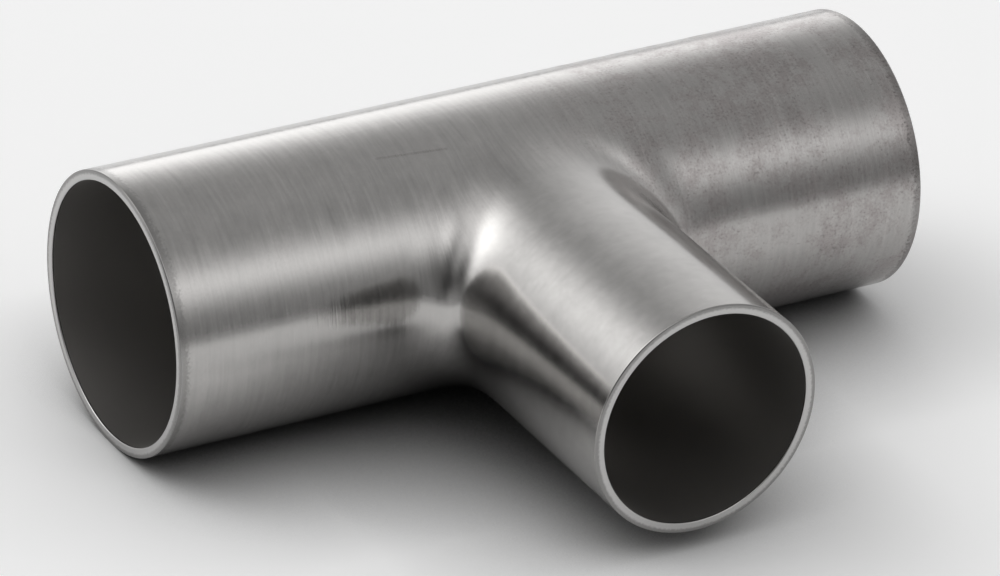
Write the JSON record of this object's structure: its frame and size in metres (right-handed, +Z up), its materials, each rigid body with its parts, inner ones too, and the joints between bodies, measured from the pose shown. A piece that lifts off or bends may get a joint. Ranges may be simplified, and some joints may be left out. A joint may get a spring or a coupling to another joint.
{
  "type": "reducing weld tee",
  "caption": "Thin-wall stainless pipe tee: a straight run with a smaller branch drawn out of its side, rounded root, square-cut weld ends.",
  "frame": {"origin": "where the run's axis and the branch's axis cross", "axes": "X along the run, -Y along the branch to its weld end, +Z up as the tee lies in the picture"},
  "size_m": [0.12, 0.0805, 0.041],
  "materials": {
    "stainless": "satin, polished round the run and round the branch, bare inside"
  },
  "bodies": {
    "root": {"tee_body": "stainless"}
  },
  "joints": []
}
